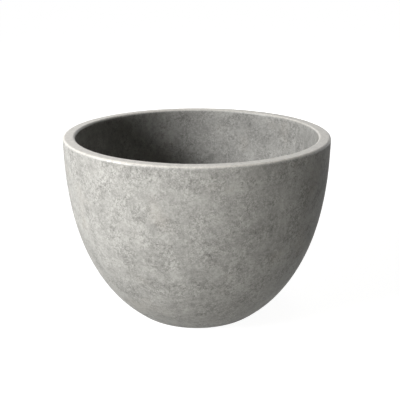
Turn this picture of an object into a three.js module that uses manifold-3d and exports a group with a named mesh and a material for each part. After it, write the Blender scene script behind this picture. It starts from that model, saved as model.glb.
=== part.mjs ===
// Bowl planter cast in fibre-reinforced concrete, with the rubber plug of its drain hole.
// Millimetres, +Z up. The origin is the centre of the foot, on the ground.
import * as THREE from 'three';
import { mergeVertices } from 'three/addons/utils/BufferGeometryUtils.js';
import Module from 'manifold-3d';

// Outer skin: a superellipse about the centre of the rim, cut off level by the ground.
const rimDiameter = 450;
const bowlHeight = 312;
const footDiameter = 232; // where the skin would meet the ground if the foot's edge were sharp
const bellyPower = 2; // fullness of the belly
const uprightPower = 2.49; // how far down from the rim the side stays upright

// Casting: one wall thickness all round, a rounded lip, and a floor that falls to the drain.
const wallThickness = 21;
const lipRound = 4.5;
const knuckleRound = 45; // inside, between wall and floor
const floorFall = 2.5;

// Foot: a flat ring round a shallow recess.
const footEdgeRound = 7;
const footRingWidth = 18;
const recessDepth = 3.5;
const recessDraft = 3;
const recessRound = 2;

// Drain hole, tapered so that its core pulls out upwards, with a sunk seat for the plug.
const drainDiameter = 28; // at the seat
const drainTaper = 2; // what the diameter loses on the way down
const seatDiameter = 50;
const seatDepth = 5;
const seatDraft = 1;
const drainEdgeRound = 1.5;

// Plug: a flanged rubber stopper, ribbed outside and hollow from below, with a beaded tab to pull it by.
const plugFit = 0.3; // left free between the plug and the hole, and under its flange
const flangeClearance = 1.2; // between the flange and the side of the seat
const flangeThickness = 6;
const flangeRound = 2;
const ribCount = 3;
const ribHeight = 1.3;
const rubberWall = 4;
const coreRound = 3;
const tipLength = 4; // plain lead-in below the ribs
const tipTaper = 2;
const tipRound = 0.8;
const tipReach = 1.5; // how far the tip stands down into the recess
const tabWidth = 26;
const tabHeight = 15; // above the flange
const tabThickness = 3.5;
const tabFlare = 3; // at its foot
const beadDiameter = 6.5;
const tabRound = 0.8;

// Facets.
const bowlSides = 72;
const plugSides = 36;
const skinSteps = 14;
const ribSteps = 6;
const tabSteps = 5;
const tabEdgeSteps = 2;
const facetError = 0.12; // how far a facet may cut inside a round
const samePoint = 1e-3; // points closer than this are one
const halvings = 40; // when a place on the skin is searched for
const roundShare = 0.49; // how much of a side the round at either end may take

const up = Math.PI / 2;
const down = -Math.PI / 2;
const inwards = Math.PI;
const at = (r, z) => new THREE.Vector2(r, z);
const towards = (angle, length) => at(length, 0).rotateAround(at(0, 0), angle);

// The outer skin's outline, from the rim at t = 0 to the ground at t = 1.
class Skin extends THREE.Curve {
  constructor() {
    super();
    const footShare = (footDiameter / rimDiameter) ** bellyPower;
    this.closingDepth = bowlHeight / (1 - footShare) ** (1 / uprightPower);
    this.footAngle = Math.acos(Math.sqrt(footShare));
  }

  getPoint(t, target = new THREE.Vector2()) {
    const angle = t * this.footAngle;
    const r = (rimDiameter / 2) * Math.cos(angle) ** (2 / bellyPower);
    const drop = this.closingDepth * Math.sin(angle) ** (2 / uprightPower);
    return target.set(r, bowlHeight - drop);
  }

  // Which way the skin faces, from level at 0 to straight down.
  facing(t) {
    const heading = this.getTangent(t);
    return Math.atan2(heading.x, -heading.y);
  }

  // The point at a given depth below the skin.
  under(t, depth) {
    return this.getPoint(t).sub(towards(this.facing(t), depth));
  }

  // Where the surface at a given depth below the skin comes down to a height.
  reach(height, depth) {
    let [above, below] = [0, 1];
    for (let i = 0; i < halvings; i++) {
      const middle = (above + below) / 2;
      if (this.under(middle, depth).y > height) above = middle;
      else below = middle;
    }
    return (above + below) / 2;
  }

  stretch(from, to, depth) {
    const steps = Math.ceil(skinSteps * Math.abs(to - from));
    return spaced(steps, (share) => this.under(THREE.MathUtils.lerp(from, to, share), depth));
  }
}

function spaced(steps, place) {
  return Array.from({ length: steps + 1 }, (_, i) => place(i / steps));
}

function arc(centre, radius, from, to) {
  const widest = 2 * Math.acos(1 - Math.min(1, facetError / radius));
  const steps = Math.max(1, Math.ceil(Math.abs(to - from) / widest));
  return spaced(steps, (share) => towards(THREE.MathUtils.lerp(from, to, share), radius).add(centre));
}

// Straight lines through [corner, round] pairs.
function rounded(start, corners, end) {
  const stops = [start, ...corners.map(([corner]) => corner), end];
  const turns = corners.flatMap(([corner, round], i) => {
    const before = corner.clone().sub(stops[i]);
    const after = stops[i + 2].clone().sub(corner);
    const turn = Math.atan2(before.cross(after), before.dot(after));
    const most = roundShare * Math.min(before.length(), after.length());
    const reach = Math.min(round * Math.tan(Math.abs(turn) / 2), most);
    if (reach < samePoint) return [corner];
    const side = Math.sign(turn) * up;
    const radius = reach / Math.tan(Math.abs(turn) / 2);
    const heading = before.angle();
    const centre = corner.clone().sub(towards(heading, reach)).add(towards(heading + side, radius));
    return arc(centre, radius, heading - side, heading - side + turn);
  });
  return [start, ...turns, end];
}

// An outline turned about the axis. It runs up the outside, and closes on itself or on the axis.
function turned(outline, sides) {
  const points = outline.filter((point, i) => i === 0 || point.distanceTo(outline[i - 1]) > samePoint);
  return new THREE.LatheGeometry(points, sides).rotateX(Math.PI / 2);
}

const skin = new Skin();
const drainRadius = drainDiameter / 2;
const drainFloor = recessDepth + wallThickness;
const seatHeight = drainFloor - seatDepth;
const seatRadius = seatDiameter / 2;

function bowl() {
  const lipHeight = bowlHeight - lipRound;
  const outerLip = skin.reach(lipHeight, lipRound);
  const innerLip = skin.reach(lipHeight, wallThickness - lipRound);
  const footEdge = skin.reach(footEdgeRound, footEdgeRound);
  const knuckle = skin.reach(drainFloor + floorFall + knuckleRound, wallThickness + knuckleRound);

  const side = [
    ...arc(skin.under(footEdge, footEdgeRound), footEdgeRound, down, skin.facing(footEdge)),
    ...skin.stretch(footEdge, outerLip, 0),
    ...arc(skin.under(outerLip, lipRound), lipRound, skin.facing(outerLip), up),
    ...arc(skin.under(innerLip, wallThickness - lipRound), lipRound, up, inwards + skin.facing(innerLip)),
    ...skin.stretch(innerLip, knuckle, wallThickness),
    ...arc(skin.under(knuckle, wallThickness + knuckleRound), knuckleRound, skin.facing(knuckle), down),
  ];
  const ringInside = side[0].x - footRingWidth;
  const floor = rounded(
    side.at(-1),
    [
      [at(seatRadius, drainFloor), drainEdgeRound],
      [at(seatRadius - seatDraft, seatHeight), drainEdgeRound],
      [at(drainRadius, seatHeight), drainEdgeRound],
      [at(drainRadius - drainTaper / 2, recessDepth), drainEdgeRound],
      [at(ringInside - recessDraft, recessDepth), recessRound],
      [at(ringInside, 0), recessRound],
    ],
    side[0],
  );
  return turned([...side, ...floor], bowlSides);
}

const flangeFoot = seatHeight + plugFit;
const flangeTop = flangeFoot + flangeThickness;

function plugBody() {
  const flangeRadius = seatRadius - seatDraft - flangeClearance;
  const tipFoot = recessDepth - tipReach;
  const ribFoot = tipFoot + tipLength;
  const ribs = spaced(ribCount * ribSteps, (share) => {
    const z = THREE.MathUtils.lerp(ribFoot, flangeFoot, share);
    const bore = drainRadius - (drainTaper / 2) * ((seatHeight - z) / (seatHeight - recessDepth));
    const groove = (1 + Math.cos(2 * Math.PI * ribCount * share)) / 2;
    return at(bore - plugFit - ribHeight * groove, z);
  });
  const coreRadius = ribs[0].x - rubberWall;
  const tip = rounded(
    at(0, flangeFoot),
    [
      [at(coreRadius, flangeFoot), coreRound],
      [at(coreRadius, tipFoot), tipRound],
      [at(ribs[0].x - tipTaper, tipFoot), tipRound],
    ],
    ribs[0],
  );
  const flange = rounded(
    ribs.at(-1),
    [
      [at(flangeRadius, flangeFoot), flangeRound / 2],
      [at(flangeRadius, flangeTop), flangeRound],
    ],
    at(0, flangeTop),
  );
  return turned([...tip, ...ribs, ...flange], plugSides);
}

// The pull tab stands on the flange along X: a web with a flared foot and a round bead along its top.
function pullTab() {
  const root = -flangeThickness / 2;
  const side = tabThickness / 2;
  const beadRadius = beadDiameter / 2;
  const beadHeight = tabHeight - beadRadius;
  const beadStart = -Math.acos(side / beadRadius);
  const section = new THREE.Shape()
    .moveTo(-side - tabFlare, root)
    .lineTo(side + tabFlare, root)
    .lineTo(side + tabFlare, 0)
    .quadraticCurveTo(side, 0, side, tabFlare)
    .absarc(0, beadHeight, beadRadius, beadStart, Math.PI - beadStart)
    .lineTo(-side, tabFlare)
    .quadraticCurveTo(-side, 0, -side - tabFlare, 0);
  const depth = tabWidth - 2 * tabRound;
  const tab = new THREE.ExtrudeGeometry(section, {
    depth,
    curveSegments: tabSteps,
    bevelSize: tabRound,
    bevelThickness: tabRound,
    bevelOffset: -tabRound,
    bevelSegments: tabEdgeSteps,
  });
  return tab
    .translate(0, 0, -depth / 2)
    .rotateX(Math.PI / 2)
    .rotateZ(Math.PI / 2)
    .translate(0, 0, flangeTop);
}

const wasm = await Module();
wasm.setup();

function solid(geometry) {
  geometry.deleteAttribute('normal');
  geometry.deleteAttribute('uv');
  const merged = mergeVertices(geometry, samePoint);
  const vertProperties = merged.getAttribute('position').array;
  const triVerts = new Uint32Array(merged.index.array);
  return new wasm.Manifold(new wasm.Mesh({ numProp: 3, vertProperties, triVerts }));
}

function joined(...geometries) {
  const { vertProperties, triVerts } = geometries.map(solid).reduce((all, one) => all.add(one)).getMesh();
  const geometry = new THREE.BufferGeometry();
  geometry.setAttribute('position', new THREE.BufferAttribute(vertProperties, 3));
  geometry.setIndex(new THREE.BufferAttribute(triVerts, 1));
  return geometry;
}

function piece(name, geometry, material) {
  const mesh = new THREE.Mesh(geometry, material);
  mesh.name = name;
  return mesh;
}

const concrete = new THREE.MeshStandardMaterial({ color: 0xa3a19b, roughness: 0.6, metalness: 0 });
const rubber = new THREE.MeshStandardMaterial({ color: 0x2c2d2e, roughness: 0.55, metalness: 0 });

const planter = new THREE.Group();
planter.add(piece('bowl', bowl(), concrete));
planter.add(piece('drain_plug', joined(plugBody(), pullTab()), rubber));

export default planter;
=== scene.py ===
import math

import bmesh
import bpy
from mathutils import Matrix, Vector, noise


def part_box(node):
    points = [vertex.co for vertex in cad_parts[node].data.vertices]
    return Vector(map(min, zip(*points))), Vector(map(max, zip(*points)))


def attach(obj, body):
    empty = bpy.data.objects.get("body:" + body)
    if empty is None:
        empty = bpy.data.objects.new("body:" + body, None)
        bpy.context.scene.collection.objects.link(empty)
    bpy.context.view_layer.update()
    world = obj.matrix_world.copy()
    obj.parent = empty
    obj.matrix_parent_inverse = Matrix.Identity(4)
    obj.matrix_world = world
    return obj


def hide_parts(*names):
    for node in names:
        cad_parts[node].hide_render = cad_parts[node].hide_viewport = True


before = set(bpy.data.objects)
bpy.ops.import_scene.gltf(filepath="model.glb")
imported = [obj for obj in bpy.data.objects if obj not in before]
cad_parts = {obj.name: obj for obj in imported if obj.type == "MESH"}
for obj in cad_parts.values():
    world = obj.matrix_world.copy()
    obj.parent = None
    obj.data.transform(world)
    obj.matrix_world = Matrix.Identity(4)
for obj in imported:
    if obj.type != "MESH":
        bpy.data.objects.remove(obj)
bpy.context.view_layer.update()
scene = bpy.context.scene
scene.view_settings.view_transform = "Standard"
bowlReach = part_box("bowl")[1]  # half the bowl's width, half its depth, and its height
print("frame loaded, bowl is", round(2 * bowlReach.x, 3), "m across")


# outlines: points (radius, height) that run up the outside of a piece, over its top and down again

samePoint = 1e-6  # points closer than this are one
roundShare = 0.49  # how much of a side the round at either end may take
bendStep = 0.2  # a step on a rounded corner, as a share of its radius
sharpOver = 40  # degrees between two faces, over which the edge stays sharp


def towards(angle, length):
    return Vector((math.cos(angle), math.sin(angle))) * length


def spaced(steps, place):
    return [place(i / steps) for i in range(steps + 1)]


def between(start, end, share):
    return start + (end - start) * share


def arc(centre, radius, start, end, step):
    steps = max(3, math.ceil(abs(end - start) * radius / step))
    return spaced(steps, lambda share: centre + towards(between(start, end, share), radius))


def straight(start, end, step):
    # the points between two others, without them
    steps = max(1, math.ceil((end - start).length / step))
    return spaced(steps, lambda share: start.lerp(end, share))[1:-1]


def rounded(start, corners, end, step):
    # straight lines through (corner, round) pairs, each cut up into steps
    stops = [start] + [corner for corner, size in corners] + [end]
    line = [start]
    for i, (corner, size) in enumerate(corners):
        before = corner - stops[i]
        after = stops[i + 2] - corner
        turn = math.atan2(before.x * after.y - before.y * after.x, before.dot(after))
        most = roundShare * min(before.length, after.length)
        cut = min(size * math.tan(abs(turn) / 2), most)
        radius = cut / math.tan(abs(turn) / 2)
        heading = math.atan2(before.y, before.x)
        side = math.copysign(math.pi / 2, turn)
        centre = corner - towards(heading, cut) + towards(heading + side, radius)
        bend = arc(centre, radius, heading - side, heading - side + turn, radius * bendStep)
        line += straight(line[-1], bend[0], step) + bend
    return line + straight(line[-1], end, step) + [end]


def turnedMesh(name, outline, sides, relief=None, zones=None):
    # spins an outline about Z; relief moves each point along the surface's own normal, into the piece,
    # and each zone is a value kept on every point for the finish to read
    zones = zones or {}
    points = [p for i, p in enumerate(outline) if i == 0 or (p - outline[i - 1]).length > samePoint]
    onAxis = points[0].x < samePoint
    if not onAxis and (points[0] - points[-1]).length < samePoint:
        points.pop()
    mesh = bmesh.new()
    layers = {zone: mesh.verts.layers.float.new(zone) for zone in zones}
    rings = []
    for i, point in enumerate(points):
        along = points[(i + 1) % len(points)] - points[i - 1]
        outward = Vector((along.y, -along.x)).normalized()
        if point.x < samePoint:
            rings.append([mesh.verts.new((0, 0, point.y))] * sides)
            continue
        ring = []
        for k in range(sides):
            turn = 2 * math.pi * k / sides
            x, y = math.cos(turn), math.sin(turn)
            place = Vector((point.x * x, point.x * y, point.y))
            if relief:
                place -= relief(place) * Vector((outward.x * x, outward.x * y, outward.y))
            ring.append(mesh.verts.new(place))
        for zone, layer in layers.items():
            share = zones[zone](point, outward)
            for vert in ring:
                vert[layer] = share
        rings.append(ring)
    pairs = list(zip(rings, rings[1:])) + ([] if onAxis else [(rings[-1], rings[0])])
    for lower, upper in pairs:
        for k in range(sides):
            corners = [lower[k], lower[(k + 1) % sides], upper[(k + 1) % sides], upper[k]]
            mesh.faces.new(list(dict.fromkeys(corners)))
    return toObject(name, mesh)


def smooth(data):
    data.shade_smooth()
    data.set_sharp_from_angle(angle=math.radians(sharpOver))


def toObject(name, mesh):
    bmesh.ops.recalc_face_normals(mesh, faces=mesh.faces)
    data = bpy.data.meshes.new(name)
    mesh.to_mesh(data)
    mesh.free()
    smooth(data)
    piece = bpy.data.objects.new(name, data)
    scene.collection.objects.link(piece)
    return piece


# the bowl: a superellipse about the rim's centre, with one wall thickness all round

bowl = {
    "rimRadius": bowlReach.x,
    "height": bowlReach.z,
    "footRadius": 0.116,  # where the skin would meet the ground if the foot's edge were sharp
    "bellyPower": 2.0,  # fullness of the belly
    "uprightPower": 2.49,  # how far down from the rim the side stays upright
    "wall": 0.021,
    "lipRound": 0.0045,
    # the lip zone also bounds the lip's pale colour, which is partly a sanded tone and partly painted
    # light from above
    "lipZone": 0.00675,  # how far down from the rim the lip's finish may reach
    "knuckleRound": 0.045,  # inside, between wall and floor
    "floorFall": 0.0025,
    "footEdgeRound": 0.007,
    "footRing": 0.018,
    "recessDepth": 0.0035,
    "recessDraft": 0.003,
    "recessRound": 0.002,
    "drainRadius": 0.014,  # at the seat
    "drainTaper": 0.001,  # what the radius loses on the way down
    "seatRadius": 0.025,
    "seatDepth": 0.005,
    "seatDraft": 0.001,
    "drainEdge": 0.0015,
    "sides": 288,
    "skinSteps": 110,
    "skinHalvings": 40,  # when a place on the skin is searched for
    "lipStep": 0.00063,
    "footEdgeStep": 0.000945,
    "rimStep": 0.00189,
    "knuckleStep": 0.00315,
    "floorStep": 0.00378,
    "wave": 0.0003,  # how deep the cast skin wanders, over waveSize
    "waveSize": 0.07,
    "waveOctaves": 2,
    "ripple": 0.00008,
    "rippleSize": 0.014,
}

footShare = (bowl["footRadius"] / bowl["rimRadius"]) ** bowl["bellyPower"]
closingDepth = bowl["height"] / (1 - footShare) ** (1 / bowl["uprightPower"])
footAngle = math.acos(math.sqrt(footShare))


def skin(t):
    # the outer skin from the rim at 0 to the ground at 1
    angle = t * footAngle
    radius = bowl["rimRadius"] * math.cos(angle) ** (2 / bowl["bellyPower"])
    drop = closingDepth * math.sin(angle) ** (2 / bowl["uprightPower"])
    return Vector((radius, bowl["height"] - drop))


def facing(t, nudge=1e-4):
    # the way that the skin faces, as an angle above level
    heading = skin(min(1, t + nudge)) - skin(max(0, t - nudge))
    return math.atan2(heading.x, -heading.y)


def under(t, depth):
    return skin(t) - towards(facing(t), depth)


def skinAt(height, depth):
    # where on the skin the surface at this depth under it has come down to this height
    above, below = 0.0, 1.0
    for _ in range(bowl["skinHalvings"]):
        middle = (above + below) / 2
        if under(middle, depth).y > height:
            above = middle
        else:
            below = middle
    return above


def bowlOutline():
    lip, wall, edge, knuckle = (bowl[k] for k in ("lipRound", "wall", "footEdgeRound", "knuckleRound"))
    floorHeight = bowl["recessDepth"] + wall
    seatHeight = floorHeight - bowl["seatDepth"]
    lipHeight = bowl["height"] - lip
    footEdge = skinAt(edge, edge)
    outerLip = skinAt(lipHeight, lip)
    innerLip = skinAt(lipHeight, wall - lip)
    knuckleAt = skinAt(floorHeight + bowl["floorFall"] + knuckle, wall + knuckle)
    down, up, inwards = -math.pi / 2, math.pi / 2, math.pi
    # up the outside
    line = arc(under(footEdge, edge), edge, down, facing(footEdge), bowl["footEdgeStep"])
    line += spaced(bowl["skinSteps"], lambda share: under(between(footEdge, outerLip, share), 0))
    # over the rim
    line += arc(under(outerLip, lip), lip, facing(outerLip), up, bowl["lipStep"])
    innerRound = arc(under(innerLip, wall - lip), lip, up, inwards + facing(innerLip), bowl["lipStep"])
    line += straight(line[-1], innerRound[0], bowl["rimStep"]) + innerRound
    # down the inside
    line += spaced(bowl["skinSteps"], lambda share: under(between(innerLip, knuckleAt, share), wall))
    knuckleCentre = under(knuckleAt, wall + knuckle)
    line += arc(knuckleCentre, knuckle, facing(knuckleAt), down, bowl["knuckleStep"])
    # along the floor, through the drain and back to the foot's edge
    ringInside = line[0].x - bowl["footRing"]
    corners = [
        (Vector((bowl["seatRadius"], floorHeight)), bowl["drainEdge"]),
        (Vector((bowl["seatRadius"] - bowl["seatDraft"], seatHeight)), bowl["drainEdge"]),
        (Vector((bowl["drainRadius"], seatHeight)), bowl["drainEdge"]),
        (Vector((bowl["drainRadius"] - bowl["drainTaper"], bowl["recessDepth"])), bowl["drainEdge"]),
        (Vector((ringInside - bowl["recessDraft"], bowl["recessDepth"])), bowl["recessRound"]),
        (Vector((ringInside, 0)), bowl["recessRound"]),
    ]
    return line + rounded(line[-1], corners, line[0], bowl["floorStep"])[1:]


def bowlRelief(place):
    # nothing where the plug seats or the foot stands, so that both stay true
    offGround = min(1, place.z / bowl["footEdgeRound"])
    offSeat = min(1, max(0, place.xy.length / bowl["seatRadius"] - 1))
    # each octave of the wave is half as long and half as deep as the one before
    wave = 0.5 + 0.5 * noise.fractal(place / bowl["waveSize"], 1.0, 2.0, bowl["waveOctaves"])
    ripple = 0.5 + 0.5 * noise.noise(place / bowl["rippleSize"])
    return max(0, offGround * offSeat * (wave * bowl["wave"] + ripple * bowl["ripple"]))


def rimZone(point, outward):
    # 0 on the walls, and on the lip how far it faces up, for the lip's paler colour: a sanded tone and
    # painted light from above
    onLip = point.y > bowl["height"] - bowl["lipZone"]
    return max(0, outward.y) if onLip else 0


bowlPiece = turnedMesh("planter_bowl", bowlOutline(), bowl["sides"], bowlRelief, {"rim": rimZone})
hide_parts("bowl")
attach(bowlPiece, "bowl")
print("bowl made,", len(bowlPiece.data.polygons), "faces")


# the plug: a flanged, ribbed stopper that hangs in the drain, hollow from below, with a tab to pull it by

plug = {
    "fit": 0.0003,  # left free between the plug and the hole, and under its flange
    "flangeGap": 0.0012,  # between the flange and the side of the seat
    "flange": 0.006,
    "flangeFootRound": 0.001,
    "flangeTopRound": 0.002,
    "ribs": 3,
    "ribHeight": 0.0013,
    "ribSteps": 16,
    "rubberWall": 0.004,
    "coreRound": 0.003,
    "tipLength": 0.004,  # plain lead-in below the ribs
    "tipTaper": 0.002,
    "tipRound": 0.0008,
    "tipReach": 0.0015,  # how far the tip stands down into the recess
    "tabWidth": 0.026,
    "tabHeight": 0.015,  # above the flange
    "tabRoot": 0.003,  # how far the tab is sunk into the flange
    "tabThickness": 0.0035,
    "tabFlare": 0.003,  # at its foot
    "bead": 0.0065,
    "tabRound": 0.0008,
    "tabRoundSteps": 6,
    "tabStep": 0.15,  # a step round the flare or the bead, as a share of its radius
    "sides": 128,
    "step": 0.0006,
}


def plugOutline():
    seatHeight = bowl["recessDepth"] + bowl["wall"] - bowl["seatDepth"]
    flangeFoot = seatHeight + plug["fit"]
    flangeTop = flangeFoot + plug["flange"]
    flangeRadius = bowl["seatRadius"] - bowl["seatDraft"] - plug["flangeGap"]
    tipFoot = bowl["recessDepth"] - plug["tipReach"]
    ribFoot = tipFoot + plug["tipLength"]
    boreLength = seatHeight - bowl["recessDepth"]

    def rib(share):
        # one wave for each rib, with its crests a fit away from the tapering bore
        height = between(ribFoot, flangeFoot, share)
        bore = bowl["drainRadius"] - bowl["drainTaper"] * (seatHeight - height) / boreLength
        groove = (1 + math.cos(2 * math.pi * plug["ribs"] * share)) / 2
        return Vector((bore - plug["fit"] - plug["ribHeight"] * groove, height))

    ribs = spaced(plug["ribs"] * plug["ribSteps"], rib)
    core = ribs[0].x - plug["rubberWall"]
    tip = rounded(Vector((0, flangeFoot)), [
        (Vector((core, flangeFoot)), plug["coreRound"]),
        (Vector((core, tipFoot)), plug["tipRound"]),
        (Vector((ribs[0].x - plug["tipTaper"], tipFoot)), plug["tipRound"]),
    ], ribs[0], plug["step"])
    flange = rounded(ribs[-1], [
        (Vector((flangeRadius, flangeFoot)), plug["flangeFootRound"]),
        (Vector((flangeRadius, flangeTop)), plug["flangeTopRound"]),
    ], Vector((0, flangeTop)), plug["step"])
    return tip + ribs[1:-1] + flange, flangeTop


def tabSection():
    # half of the tab's cross-section, from its root up over the bead, as (sideways, height)
    side, flare, bead = plug["tabThickness"] / 2, plug["tabFlare"], plug["bead"] / 2
    line = [Vector((side + flare, -plug["tabRoot"])), Vector((side + flare, 0))]
    flareCentre = Vector((side + flare, flare))
    line += arc(flareCentre, flare, -math.pi / 2, -math.pi, flare * plug["tabStep"])[1:]
    beadCentre = Vector((0, plug["tabHeight"] - bead))
    line += arc(beadCentre, bead, -math.acos(side / bead), math.pi / 2, bead * plug["tabStep"])
    return line


def tabMesh(foot):
    # the section is shrunk towards its middle line at both ends to round the tab's edges
    half = tabSection()
    outline = half + [Vector((-p.x, p.y)) for p in reversed(half[:-1])]
    count = len(outline)
    edge = plug["tabRound"]
    centre = Vector((edge, edge))
    ends = spaced(plug["tabRoundSteps"], lambda share: centre - towards(share * math.pi / 2, edge))
    stations = [(-plug["tabWidth"] / 2 + along, inset) for along, inset in ends]
    stations += [(-along, inset) for along, inset in reversed(stations)]
    mesh = bmesh.new()
    layers = []
    for along, inset in stations:
        layer = []
        for i, p in enumerate(outline):
            tangent = outline[(i + 1) % count] - outline[i - 1]
            inward = Vector((-tangent.y, tangent.x)).normalized() * inset
            layer.append(mesh.verts.new((along, p.x + inward.x, foot + p.y + inward.y)))
        layers.append(layer)
    for near, far in zip(layers, layers[1:]):
        for i in range(count):
            j = (i + 1) % count
            mesh.faces.new((near[i], near[j], far[j], far[i]))
    mesh.faces.new(list(reversed(layers[0])))
    mesh.faces.new(layers[-1])
    return toObject("plug_tab", mesh)


def joined(piece, addition):
    union = piece.modifiers.new("union", "BOOLEAN")
    union.operation, union.solver, union.object = "UNION", "EXACT", addition
    evaluated = piece.evaluated_get(bpy.context.evaluated_depsgraph_get())
    result = bpy.data.meshes.new_from_object(evaluated)
    piece.modifiers.clear()
    piece.data = result
    bpy.data.objects.remove(addition)
    smooth(piece.data)
    return piece


outline, flangeTop = plugOutline()
stem = turnedMesh("drain_plug_rubber", outline, plug["sides"])
plugPiece = joined(stem, tabMesh(flangeTop))
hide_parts("drain_plug")
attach(plugPiece, "drain_plug")
print("plug made,", len(plugPiece.data.polygons), "faces")


# finishes

def socketOf(sockets, key):
    if isinstance(key, int):
        return sockets[key]
    return next(s for s in sockets if key in (s.name, s.identifier) and s.enabled)


class Wire:  # a socket in a node tree; sums of wires and numbers add their Math nodes
    def __init__(self, tree, socket=None):
        self.tree = tree
        self.socket = socket

    def node(self, kind, settings, sockets, output=0):
        made = self.tree.nodes.new("ShaderNode" + kind)
        for name, value in settings.items():
            setattr(made, name, value)
        for key, value in sockets.items():
            socket = socketOf(made.inputs, key)
            if isinstance(value, Wire):
                self.tree.links.new(value.socket, socket)
            else:
                socket.default_value = value
        return Wire(self.tree, socketOf(made.outputs, output))

    def sum(self, operation, first, second):
        return self.node("Math", {"operation": operation}, {0: first, 1: second})

    def __add__(self, other):
        return self.sum("ADD", self, other)

    def __radd__(self, other):
        return self.sum("ADD", other, self)

    def __sub__(self, other):
        return self.sum("SUBTRACT", self, other)

    def __rsub__(self, other):
        return self.sum("SUBTRACT", other, self)

    def __mul__(self, other):
        return self.sum("MULTIPLY", self, other)

    def __rmul__(self, other):
        return self.sum("MULTIPLY", other, self)

    def __abs__(self):
        return self.node("Math", {"operation": "ABSOLUTE"}, {0: self})


def newMaterial(name):
    material = bpy.data.materials.new(name)
    material.use_nodes = True
    shader = material.node_tree.nodes["Principled BSDF"]
    place = Wire(material.node_tree).node("TexCoord", {}, {}, "Object")
    return material, shader, place


def feed(shader, key, wire):
    wire.tree.links.new(wire.socket, shader.inputs[key])


shiftWay = (1, 0.7, 1.3)  # the direction in which a grain's shift moves it through the noise


def grainOf(place, size, detail, roughness, shift):
    # 3-D noise about zero, with features of a size in metres
    shifts = [shift * way for way in shiftWay]
    moved = place.node("VectorMath", {"operation": "ADD"}, {0: place, 1: shifts})
    sockets = {"Vector": moved, "Scale": 1 / size, "Detail": detail, "Roughness": roughness}
    return place.node("TexNoise", {"noise_dimensions": "3D"}, sockets, "Fac") - 0.5


def stepOf(value, low, high):
    settings = {"interpolation_type": "SMOOTHSTEP"}
    return value.node("MapRange", settings, {"Value": value, "From Min": low, "From Max": high})


def blend(factor, first, second):
    sockets = {"Factor": factor, "A": first, "B": second}
    return factor.node("Mix", {"data_type": "RGBA"}, sockets, "Result")


def bumpOf(height, distance):
    return height.node("Bump", {}, {"Strength": 1.0, "Distance": distance, "Height": height}, "Normal")


concreteLook = {
    # colours
    "dark": (0.08, 0.0787, 0.0735, 1),
    "light": (0.51, 0.5035, 0.479, 1),
    "tan": (0.37, 0.335, 0.29, 1),
    "pit": (0.1, 0.098, 0.091, 1),
    # the lip's pale colours are partly a sanded tone and partly painted light where the lip faces up
    "sandedPaintedLightDark": (0.3, 0.283, 0.255, 1),
    "sandedPaintedLight": (0.93, 0.895, 0.83, 1),
    # grains: size in metres, detail, roughness, shift
    "cloudGrain": (0.075, 2, 0.5, 33.4),
    "blotchGrain": (0.021, 2, 0.55, 20.4),
    "mottleGrain": (0.0058, 2, 0.6, 7.7),
    "fineGrain": (0.0023, 1, 0.5, 9.2),
    "sandGrain": (0.0011, 0, 0.5, 21.0),
    "busyGrain": (0.03, 2, 0.6, 20.0),
    "veinGrain": (0.0085, 2, 0.7, 17.0),
    "pitGrain": (0.0048, 1, 0.4, 31.0),
    "tanGrain": (0.06, 2, 0.5, 37.0),
    # where a value starts to count and where it counts in full
    "rimFrom": (0.3, 0.9),
    "lipFrom": (0.05, 0.25),
    "busyFrom": (-0.13, 0.13),
    "veinFrom": (0.045, 0.005),
    "pitFrom": (0.15, 0.24),
    "tanFrom": (0.06, 0.24),
    # how far each moves the tone, between dark at 0 and light at 1
    "tone": 0.57,
    "sandedPaintedLightTone": 0.7,
    "cloud": 0.3,
    "blotch": 0.48,
    "mottle": 0.6,
    "fine": 0.5,
    "calmContrast": 0.7,
    "busyContrast": 0.5,
    # how much each covers, and how much more in the busy patches
    "rimCover": 0.8,
    "tanCover": 0.16,
    "veinCover": 0.12,
    "veinBusy": 0.28,
    "pitCover": 0.15,
    "pitBusy": 0.3,
    # surface
    "roughness": 0.5,
    "mottleRoughness": 0.12,
    "cloudRoughness": -0.1,
    "specular": 0.04,
    "lipRoughness": 0.36,
    "lipCoat": 0.85,
    "bumpHeight": 0.00012,
    "mottleHeight": 0.6,
    "fineHeight": 0.5,
    "sandHeight": 0.4,
    "veinDepth": 0.4,
    "pitDepth": 0.6,
}


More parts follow.
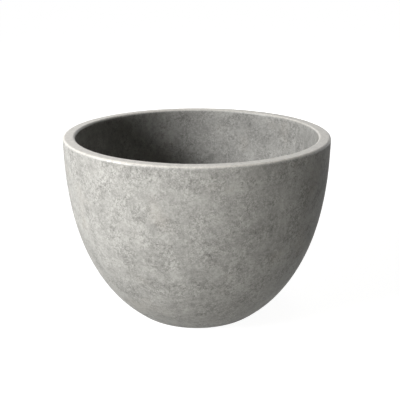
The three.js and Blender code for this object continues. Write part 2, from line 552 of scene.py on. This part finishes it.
def concrete():
    look = concreteLook
    material, shader, place = newMaterial("fibre concrete")
    upward = place.node("Attribute", {"attribute_name": "rim"}, {}, "Fac")
    rim = stepOf(upward, *look["rimFrom"])
    lip = stepOf(upward, *look["lipFrom"])
    cloud = grainOf(place, *look["cloudGrain"])
    blotch = grainOf(place, *look["blotchGrain"])
    mottle = grainOf(place, *look["mottleGrain"])
    fine = grainOf(place, *look["fineGrain"])
    sand = grainOf(place, *look["sandGrain"])
    # some patches are calm and some busy, with more of the veins and pits in the busy ones
    busy = stepOf(grainOf(place, *look["busyGrain"]), *look["busyFrom"])
    vein = stepOf(abs(grainOf(place, *look["veinGrain"])), *look["veinFrom"])
    pit = stepOf(grainOf(place, *look["pitGrain"]), *look["pitFrom"])
    tan = stepOf(grainOf(place, *look["tanGrain"]), *look["tanFrom"])

    contrast = look["calmContrast"] + look["busyContrast"] * busy
    speckle = contrast * (look["mottle"] * mottle + look["fine"] * fine)
    tone = look["tone"] + look["cloud"] * cloud + look["blotch"] * blotch + speckle
    colour = blend(tone, look["dark"], look["light"])
    colour = blend(look["tanCover"] * tan, colour, look["tan"])
    colour = blend((look["veinCover"] + look["veinBusy"] * busy) * vein, colour, look["pit"])
    colour = blend((look["pitCover"] + look["pitBusy"] * busy) * pit, colour, look["pit"])
    # the lip is paler where it faces up: partly a sanded tone, partly painted light from above
    sandedPaintedLight = blend(look["sandedPaintedLightTone"] + speckle, look["sandedPaintedLightDark"], look["sandedPaintedLight"])
    feed(shader, "Base Color", blend(look["rimCover"] * rim, colour, sandedPaintedLight))

    patchy = look["mottleRoughness"] * mottle + look["cloudRoughness"] * cloud
    feed(shader, "Roughness", look["roughness"] + patchy)
    feed(shader, "Coat Weight", look["lipCoat"] * lip)
    shader.inputs["Coat Roughness"].default_value = look["lipRoughness"]
    shader.inputs["Specular IOR Level"].default_value = look["specular"]

    raised = look["mottleHeight"] * mottle + look["fineHeight"] * fine
    hollow = look["veinDepth"] * vein * busy + look["pitDepth"] * pit
    height = raised - hollow + look["sandHeight"] * sand
    feed(shader, "Normal", bumpOf(height, look["bumpHeight"]))
    return material


rubberLook = {
    "base": (0.026, 0.026, 0.027, 1),
    "worn": (0.052, 0.051, 0.05, 1),
    "dust": (0.3, 0.295, 0.28, 1),
    "wornGrain": (0.009, 3, 0.6, 2.0),
    "dustGrain": (0.0045, 3, 0.65, 5.0),
    "skinGrain": (0.0006, 1, 0.5, 8.0),
    "wornFrom": (-0.1, 0.2),
    "dustFrom": (0.06, 0.25),
    "dustCover": 0.3,
    "roughness": 0.55,
    "dustRoughness": 0.2,
    "wornRoughness": 0.1,
    "bumpHeight": 0.00004,
}


def rubber():
    look = rubberLook
    material, shader, place = newMaterial("moulded rubber")
    worn = stepOf(grainOf(place, *look["wornGrain"]), *look["wornFrom"])
    dust = stepOf(grainOf(place, *look["dustGrain"]), *look["dustFrom"])
    colour = blend(worn, look["base"], look["worn"])
    feed(shader, "Base Color", blend(look["dustCover"] * dust, colour, look["dust"]))
    duller = look["dustRoughness"] * dust + look["wornRoughness"] * worn
    feed(shader, "Roughness", look["roughness"] + duller)
    feed(shader, "Normal", bumpOf(grainOf(place, *look["skinGrain"]), look["bumpHeight"]))
    return material


def dress(piece, material):
    piece.data.materials.clear()
    piece.data.materials.append(material)


dress(bowlPiece, concrete())
dress(plugPiece, rubber())
print("finishes made")


# floor, lamps and camera

floor = {
    "reach": 40.0,
    "shade": 0.3,
    "glow": 0.93,  # near the planter, where the lamps add what is left to white
    "whiteFrom": (0.7, 2.5),  # metres out, between which the glow rises to white
    "drainTo": (0.1, 0.11),  # dark inside this, under the foot, where the open drain looks through
}


def seenRays(place):
    # 1 for the camera and in reflections, so that the white is seen and lights nothing
    kinds = ("Is Camera Ray", "Is Glossy Ray", "Is Transmission Ray")
    seen, glossy, clear = (place.node("LightPath", {}, {}, kind) for kind in kinds)
    return seen + glossy + clear


def makeFloor():
    bpy.ops.mesh.primitive_plane_add(size=2 * floor["reach"])
    piece = bpy.context.object
    piece.name = "studio_floor"
    material, shader, place = newMaterial("studio floor")
    shade = floor["shade"]
    shader.inputs["Base Color"].default_value = (shade, shade, shade, 1)
    shader.inputs["Roughness"].default_value = 1
    shader.inputs["Specular IOR Level"].default_value = 0
    away = place.node("VectorMath", {"operation": "LENGTH"}, {0: place}, "Value")
    glow = floor["glow"] + (1 - floor["glow"]) * stepOf(away, *floor["whiteFrom"])
    glow = glow * stepOf(away, *floor["drainTo"])
    shader.inputs["Emission Strength"].default_value = 1
    feed(shader, "Emission Color", glow * seenRays(place))
    dress(piece, material)


def makeWorld():
    world = bpy.data.worlds.new("studio")
    world.use_nodes = True
    scene.world = world
    tree = world.node_tree
    background = tree.nodes["Background"]
    background.inputs["Color"].default_value = (1, 1, 1, 1)
    feed(background, "Strength", seenRays(Wire(tree)))


lampAim = Vector((0, 0, 0.17))
lamps = {
    # name: degrees round from the camera's side, degrees up, metres away, (wide, high), watts, colour
    "key": (-65, 26, 2.2, (1.3, 0.4), 67, (1, 1, 1)),
    "low": (-15, 2, 2.2, (0.35, 0.35), 25, (1, 0.99, 0.95)),
    "back": (165, 2, 2.2, (1.2, 0.1), 26, (1, 0.985, 0.94)),
    "top": (150, 60, 2.2, (0.9, 0.9), 6, (1, 0.985, 0.94)),
}


def makeLamp(name, around, up, away, size, power, colour):
    light = bpy.data.lights.new(name, "AREA")
    light.shape, light.energy, light.color = "RECTANGLE", power, colour
    light.size, light.size_y = size
    lamp = bpy.data.objects.new(name, light)
    turn, lift = math.radians(around), math.radians(up)
    back = Vector((math.sin(turn) * math.cos(lift), -math.cos(turn) * math.cos(lift), math.sin(lift)))
    lamp.location = lampAim + back * away
    lamp.rotation_euler = (-back).to_track_quat("-Z", "Y").to_euler()
    lamp.visible_glossy = abs(around) < 90  # a lamp behind would glare on the lip and eat its edge
    scene.collection.objects.link(lamp)


camera = {
    "standoff": 1.125,  # metres from the middle of the mouth
    "rise": 12.45,  # degrees above it
    "tilt": 18.39,  # degrees down from level
    "pan": -0.271,
    "lens": 59.13,
}


def makeCamera():
    data = bpy.data.cameras.new("camera")
    data.lens = camera["lens"]
    piece = bpy.data.objects.new("camera", data)
    rise = math.radians(camera["rise"])
    offset = Vector((0, -math.cos(rise), math.sin(rise))) * camera["standoff"]
    piece.location = Vector((0, 0, bowl["height"])) + offset
    piece.rotation_euler = (math.radians(90 - camera["tilt"]), 0, math.radians(camera["pan"]))
    scene.collection.objects.link(piece)
    scene.camera = piece


makeFloor()
makeWorld()
for lampName, settings in lamps.items():
    makeLamp(lampName, *settings)
makeCamera()
print("floor, lamps and camera set")
